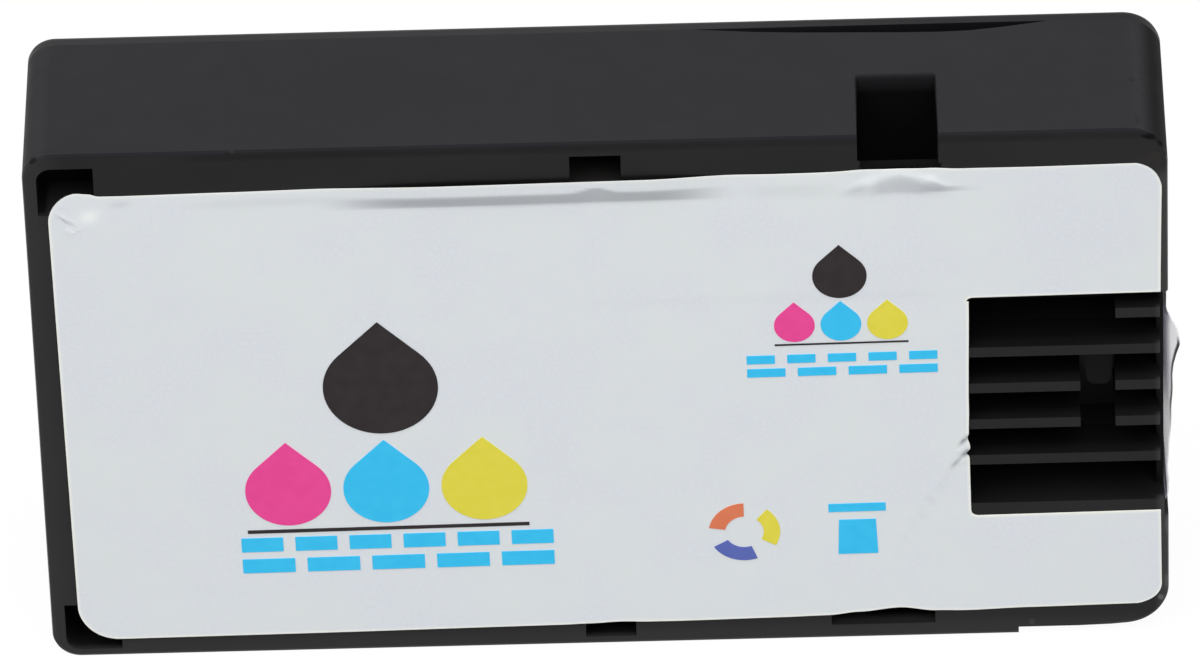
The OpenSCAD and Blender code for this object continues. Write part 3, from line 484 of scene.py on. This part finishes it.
def on_case(points, out):
    """Label places, in mm from its centre, as places on the case in metres."""
    u, v = np.asarray(points).T
    x = label_x + u * math.cos(label_turn) - v * math.sin(label_turn)
    z = label_z + u * math.sin(label_turn) + v * math.cos(label_turn)
    return np.stack([x, label_face - out, z], axis=1) / 1000


def soften(mesh):
    mesh.shade_smooth()
    mesh.set_sharp_from_angle(angle=math.radians(50))


lift = label_height(*flat.T)
front = on_case(flat, lift)
back = on_case(flat, lift - label_thick)
count = len(flat)
faces = []
for cell in cells:
    a, b, c = (flat[i] for i in cell)
    turned = (b[0] - a[0]) * (c[1] - a[1]) - (b[1] - a[1]) * (c[0] - a[0]) > 0
    cell = tuple(cell) if turned else tuple(reversed(cell))
    faces += [cell, tuple(i + count for i in reversed(cell))]
edges = dict.fromkeys(edge for face in faces[::2] for edge in zip(face, face[1:] + face[:1]))
faces += [(b, a, a + count, b + count) for a, b in edges if (b, a) not in edges]
mesh = bpy.data.meshes.new("paper_label")
mesh.from_pydata(np.concatenate([front, back]).tolist(), [], faces)
for name, field in (("cut", label_cut), ("shade", label_shade), ("gleam", label_gleam)):
    tone = np.tile(np.clip(field(*flat.T), 0, 1), 2)
    mesh.attributes.new(name, "FLOAT", "POINT").data.foreach_set("value", tone)
soften(mesh)
label = put_in_scene("paper_label", mesh)

paper, shader, place = start_finish("label_paper", Specular_IOR_Level=0.35, Coat_Roughness=0.35)
tint = place.noise(7, 3).ramp(0.35, 0.65).mix((0.655, 0.69, 0.745), (0.675, 0.715, 0.715))
fibre = place.noise(0.4, 3).ramp(0.3, 0.7)
cut_edge, shade, gleam = (place.node("Attribute", {"attribute_name": name}, out="Fac")
                         for name in ("cut", "shade", "gleam"))
sheet = cut_edge.mix(fibre.mix(tint, (0.69, 0.715, 0.74)), (0.86, 0.86, 0.78))
feed(shader,
     Base_Color=gleam.mix(shade.mix(sheet, (0.22, 0.24, 0.27)), (0.9, 0.91, 0.88)),
     Roughness=place.noise(2, 3) * 0.12 + 0.42,
     Normal=place.noise(0.25, 3).bump(0.003, 0.5, place.noise(11, 2, (1, 1, 1.6)).bump(0.16, 0.3)))
mesh.materials.append(paper)
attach(label, "root")
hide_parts("side_label")


# The print is four-colour ink on the label's coating: flat fields with a trace of the press's
# mottle, each ink a node of its own.
def ink(name, dark, light):
    finish, shader, place = start_finish(name, Specular_IOR_Level=0.15)
    mottle = place.noise(1.3, 4).ramp(0.3, 0.7) * 0.8 + place.noise(0.12, 1).ramp(0.5, 0.7) * 0.2
    feed(shader,
         Base_Color=mottle.mix(dark, light),
         Roughness=place.noise(2, 3) * 0.12 + 0.4,
         Normal=place.noise(0.25, 3).bump(0.003, 0.5, place.noise(11, 2, (1, 1, 1.6)).bump(0.16, 0.3)))
    return finish


dress("print_black", ink("ink_black", (0.022, 0.017, 0.018), (0.028, 0.023, 0.024)))
dress("print_magenta", ink("ink_magenta", (0.75, 0.058, 0.275), (0.785, 0.069, 0.295)))
dress("print_yellow", ink("ink_yellow", (0.695, 0.62, 0.055), (0.725, 0.645, 0.07)))
dress("print_cyan", ink("ink_cyan", (0.034, 0.485, 0.815), (0.044, 0.515, 0.845)))
dress("print_orange", ink("ink_orange", (0.665, 0.175, 0.082), (0.695, 0.195, 0.096)))
dress("print_blue", ink("ink_blue", (0.09, 0.125, 0.41), (0.105, 0.14, 0.435)))


# The pull-off film is a thin hazy plastic tape heat-sealed over both ports. Its near edge has
# come loose and bows out past the end of the case, where its pale inner side shows. It takes
# the rings of the two ports. A dark band along its near edge is painted shade, and its inner side near the
# case is painted violet as painted shade.
film_x, film_thick = 53.99, 0.12
film_y, film_w = -7.415, 15.2
film_z, film_h = 14.5, 26.8
film_lift, film_bend = 1.5, 1.2
film_cols, film_rows = 60, 107
port_y, port_rings = 3.585, ((22.5, 3.2), (34, 2.2))
# Share of the lift, and width over which it fades, at shares of the film's height
film_bow = [(0, 0.1), (0.03, 0.22), (0.09, 0.3), (0.15, 0.2), (0.22, 0.27), (0.29, 0.36), (0.38, 0.43),
            (0.48, 0.49), (0.57, 0.53), (0.62, 0.6), (0.66, 0.75), (0.7, 1), (0.735, 1), (0.77, 0.85),
            (0.8, 0.62), (0.83, 0.32), (0.86, 0.12), (0.93, 0.12), (1, 0.04)]
film_fade = [(0.6, 8.2), (0.71, 5.5), (0.77, 3.3)]

inner, upper = np.meshgrid(np.linspace(0, 1, film_cols + 1), np.linspace(0, 1, film_rows + 1))
y, z = film_y + inner * film_w, film_z + upper * film_h
bow, fade = (np.interp(upper, *zip(*curve)) for curve in (film_bow, film_fade))
off = film_lift * bow * np.maximum(0, 1 - inner * film_w / fade) ** film_bend
off += 0.03 * np.maximum(0, 1 - inner * 1.6) * np.sin(upper * 41 + 3 * inner) * smooth(0, 0.3, bow)
for port_z, port_r in port_rings:
    ring = np.hypot(y - port_y, z - port_z) - port_r
    pressed = (1 - smooth(0.3, 0.8, ring)) * smooth(-0.6, 0, ring + 0.6)
    off += (0.035 * np.exp(-(ring / 0.25) ** 2) + 0.02) * pressed
skin = np.stack([film_x + off, y, z], -1).reshape(-1, 3)
shell = np.concatenate([skin, skin + (film_thick, 0, 0)]) / 1000
count = len(skin)
index = np.arange(count).reshape(film_rows + 1, film_cols + 1)
faces = []
for i in range(film_rows):
    for j in range(film_cols):
        quad = [index[i, j], index[i, j + 1], index[i + 1, j + 1], index[i + 1, j]]
        faces += [[int(k) + count for k in quad], [int(k) for k in reversed(quad)]]
loop = [*index[0, :], *index[1:, -1], *index[-1, -2::-1], *index[-2:0:-1, 0]]
for p, q in zip(loop, loop[1:] + loop[:1]):
    faces.append([int(p), int(q), int(q) + count, int(p) + count])
mesh = bpy.data.meshes.new("pull_film")
mesh.from_pydata(shell.tolist(), [], faces)
mesh.validate()
soften(mesh)
film = put_in_scene("pull_film", mesh)

haze, shader, place = start_finish("hazy_film", Specular_IOR_Level=0.5)
across, deep, high = (place.along(side) for side in "XYZ")
raised = high.band(24.5, 27.5, 36.2, 37)
# Painted shade: a near-black, more opaque band along the film's near edge.
edge_shade = most((1 - deep.ramp(-7.2, -6.8)) * high.band(20.5, 26.5, 33.4, 34.3),
                 (1 - deep.ramp(-6.2, -5.2)) * high.ramp(36.4, 37.2))
near_case = 1 - across.ramp(54.2, 54.9)
tape = place.noise(3, 3, (1, 1, 0.3)).ramp(0.3, 0.7).mix((0.72, 0.72, 0.88), (0.86, 0.86, 0.94))
# Painted shade: near the case the film's inner side is tinted violet and made more opaque, as it looks in
# shade.
shade_tint = (near_case * raised).mix(tape, (0.33, 0.29, 0.72))
feed(shader,
     Base_Color=edge_shade.mix(shade_tint, (0.02, 0.02, 0.023)),
     Alpha=most(near_case * (high.ramp(21.5, 27.5) * 0.3 + 0.2), edge_shade * 0.65) + 0.22,
     Roughness=place.noise(2, 3) * 0.2 + 0.22,
     Normal=place.noise(0.8, 2, (1, 1, 0.2)).bump(0.01, 0.4))
mesh.materials.append(haze)
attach(film, "root")
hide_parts("seal_film")

# The chip is a small green board let into the port end, with gold-plated contacts and a
# black resin cap over its memory.
board, shader, place = start_finish("solder_mask", Specular_IOR_Level=0.5, Roughness=0.3)
feed(shader,
     Base_Color=place.noise(0.25, 2).ramp(0.4, 0.7).mix((0.012, 0.09, 0.035), (0.02, 0.13, 0.05)),
     Normal=place.noise(0.5, 2).bump(0.01, 0.4))
dress("chip_board", board)
gold, shader, place = start_finish("gold_plating", Metallic=1.0)
feed(shader,
     Base_Color=place.noise(0.6, 3).ramp(0.3, 0.7).mix((0.72, 0.47, 0.16), (0.86, 0.62, 0.27)),
     Roughness=place.noise(0.3, 2, (1, 0.2, 1)) * 0.3 + 0.18)
dress("chip_contacts", gold)
resin, shader, place = start_finish("resin_cap", Specular_IOR_Level=0.5)
feed(shader,
     Base_Color=place.noise(0.8, 2).mix((0.006, 0.006, 0.006), (0.012, 0.012, 0.012)),
     Roughness=place.noise(0.5, 2) * 0.2 + 0.12,
     Normal=place.noise(1.5, 1).bump(0.05, 0.4))
dress("chip_memory", resin)

# The port seals are soft black rubber, pressed into the mouths behind their collars.
rubber, shader, place = start_finish("seal_rubber", Specular_IOR_Level=0.3)
feed(shader,
     Base_Color=place.noise(0.7, 4).ramp(0.35, 0.7).mix((0.022, 0.022, 0.024), (0.045, 0.045, 0.047)),
     Roughness=place.noise(0.3, 2) * 0.15 + 0.65,
     Normal=place.noise(0.1, 2).bump(0.01, 0.5))
dress("outlet_seal", rubber)
dress("air_seal", rubber)

# The outlet's wick is pressed white felt behind a woven steel screen.
felt, shader, place = start_finish("wick_felt", Specular_IOR_Level=0.1, Roughness=0.95)
feed(shader,
     Base_Color=place.noise(0.3, 4, (0.25, 1, 1)).mix((0.62, 0.60, 0.53), (0.82, 0.81, 0.75)),
     Normal=place.noise(0.15, 4, (0.2, 1, 1)).bump(0.06, 0.8))
dress("outlet_wick", felt)
woven, shader, place = start_finish("woven_steel", Metallic=1.0)
wire_pitch = 0.2
weft, warp = (place.math("ABSOLUTE", place.math("SINE", place.along(side) * (math.pi / wire_pitch)))
              for side in ("Y", "Z"))
weave = most(weft, warp)
# The openings between the wires are painted dark: painted shade.
feed(shader,
     Base_Color=weave.ramp(0.4, 0.9).mix((0.12, 0.12, 0.125), (0.62, 0.62, 0.64)),
     Roughness=place.noise(0.4, 2) * 0.15 + 0.3,
     Normal=weave.bump(0.05, 0.7))
dress("outlet_screen", woven)

# Behind the tray's open back lie the welded clear film and the ink sponge, and under the label
# the white vent filter.
clear, shader, place = start_finish("chamber_film_clear", Specular_IOR_Level=0.5)
feed(shader,
     Base_Color=place.noise(5, 2).mix((0.66, 0.70, 0.74), (0.74, 0.78, 0.82)),
     Roughness=place.noise(3, 2) * 0.1 + 0.12,
     Normal=place.noise(8, 2).bump(0.3, 0.4))
dress("chamber_film", clear)
sponge, shader, place = start_finish("ink_sponge", Specular_IOR_Level=0.2, Roughness=0.9)
pores = place.node("TexVoronoi", {"feature": "DISTANCE_TO_EDGE"}, {"Vector": place, "Scale": 2500})
# The pores' hollows are painted darker than their rims: painted shade.
feed(shader,
     Base_Color=pores.ramp(0.02, 0.2).mix((0.05, 0.05, 0.055), (0.008, 0.008, 0.01)),
     Normal=pores.ramp(0.0, 0.3).bump(-0.12, 0.8))
dress("foam_block", sponge)
filter_sheet, shader, place = start_finish("filter_sheet", Specular_IOR_Level=0.2, Roughness=0.8)
feed(shader,
     Base_Color=place.noise(0.2, 4).mix((0.78, 0.78, 0.77), (0.88, 0.88, 0.87)),
     Normal=place.noise(0.08, 3).bump(0.01, 0.5))
dress("vent_filter", filter_sheet)


# The cartridge stands on a pale plain floor under a large softbox and an even white room. The
# room and the floor are white to the camera and in reflections, and dimmer as sources of light.
def rays_in(tree):
    """1 for rays from the camera, and 1 for those and what gloss and glass pass on."""
    kinds = tree.nodes.new("ShaderNodeLightPath").outputs
    seen, mirrored, through = (Wire(tree, kinds[kind]) for kind in (
        "Is Camera Ray", "Is Glossy Ray", "Is Transmission Ray"))
    return seen, most(seen, mirrored, through)


scene = bpy.context.scene
scene.view_settings.view_transform = "Standard"
world = bpy.data.worlds.new("room")
world.use_nodes = True
scene.world = world
tree = world.node_tree
seen, shown = rays_in(tree)
background = tree.nodes["Background"]
background.inputs["Color"].default_value = (1, 1, 1, 1)
tree.links.new((shown * 0.65 + 0.35).socket, background.inputs["Strength"])

side = 3.0
floor_corners = [(-side, -side, 0), (side, -side, 0), (side, side, 0), (-side, side, 0)]
mesh = bpy.data.meshes.new("floor")
mesh.from_pydata(floor_corners, [], [(0, 1, 2, 3)])
floor = put_in_scene("floor", mesh)
pale = bpy.data.materials.new("pale_floor")
pale.use_nodes = True
tree = pale.node_tree
tree.nodes.remove(tree.nodes["Principled BSDF"])
seen, shown = rays_in(tree)
matt = seen.node("BsdfDiffuse", {}, {"Color": (0.42, 0.42, 0.42, 1)})
glow = seen.node("Emission", {}, {"Color": (1, 1, 1, 1), "Strength": seen * 0.06 + 1.0})
blended = seen.node("MixShader", {}, {0: shown * 0.9, 1: matt, 2: glow})
tree.links.new(blended.socket, tree.nodes["Material Output"].inputs["Surface"])
mesh.materials.append(pale)


def softbox(name, at, toward, width, height, power):
    lamp = bpy.data.lights.new(name, "AREA")
    lamp.shape = "RECTANGLE"
    lamp.size, lamp.size_y, lamp.energy = width, height, power
    made = put_in_scene(name, lamp)
    made.location = at
    made.rotation_euler = (Vector(toward) - Vector(at)).to_track_quat("-Z", "Y").to_euler()
    made.visible_glossy = False


softbox("key_softbox", (-0.1, -0.5, 1.2), (0, 0, 0.03), 1.8, 1.3, 28)
softbox("fill_softbox", (0.9, -0.9, 0.45), (0, 0, 0.03), 0.7, 0.7, 1.5)
